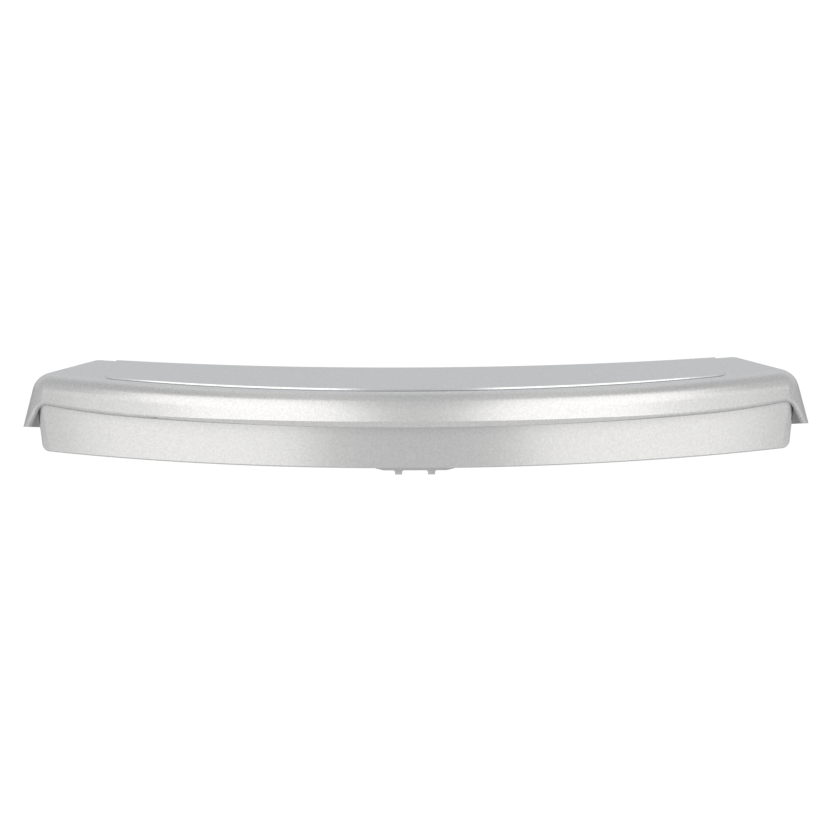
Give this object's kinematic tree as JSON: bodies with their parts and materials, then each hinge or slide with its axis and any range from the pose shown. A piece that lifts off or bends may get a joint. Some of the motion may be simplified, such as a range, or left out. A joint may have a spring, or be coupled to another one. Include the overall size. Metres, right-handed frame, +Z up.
{
  "type": "washing machine door handle",
  "caption": "Bowed silver handle moulding with a rolled overhanging lip, side wings, an apron and a pronged catch, screwed to a washing machine's lid or door.",
  "frame": {"origin": "midway between the two inner screw bosses, on the plane of their lower faces", "axes": "+X along the handle to the right as seen from the front, -Y to the front, +Z up"},
  "size_m": [0.3414, 0.0859, 0.0381],
  "materials": {
    "silver_plastic": "plastic painted silver, with a fine metallic grain"
  },
  "bodies": {
    "root": {"handle_moulding": "silver_plastic"}
  },
  "joints": []
}
